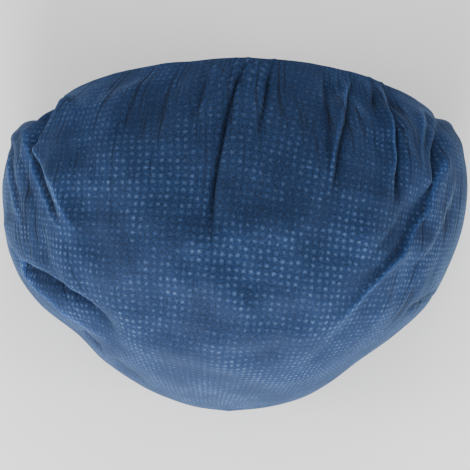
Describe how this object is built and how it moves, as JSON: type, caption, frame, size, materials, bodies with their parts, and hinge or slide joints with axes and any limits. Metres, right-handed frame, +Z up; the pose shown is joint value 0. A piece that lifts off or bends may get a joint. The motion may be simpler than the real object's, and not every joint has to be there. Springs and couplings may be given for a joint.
{
  "type": "bouffant cap",
  "caption": "Puffed disposable bouffant cap of thin dotted blue nonwoven cloth, lying on its back with its gathered elastic mouth open to one side.",
  "frame": {"origin": "under the middle of the cap's outline, on the surface that it lies on", "axes": "+X across the cap from side to side, +Y out of the mouth, -Y towards the end of the crown, +Z up from the surface"},
  "size_m": [0.2797, 0.2098, 0.1181],
  "materials": {
    "nonwoven": "matte thin point-bonded nonwoven with a grid of small lighter bond dots",
    "nonwoven_inner": "matte nonwoven, turned in and gathered",
    "elastic": "matte flat elastic"
  },
  "bodies": {
    "root": {"crown": "nonwoven", "hem_casing": "nonwoven_inner", "elastic": "elastic"}
  },
  "joints": []
}
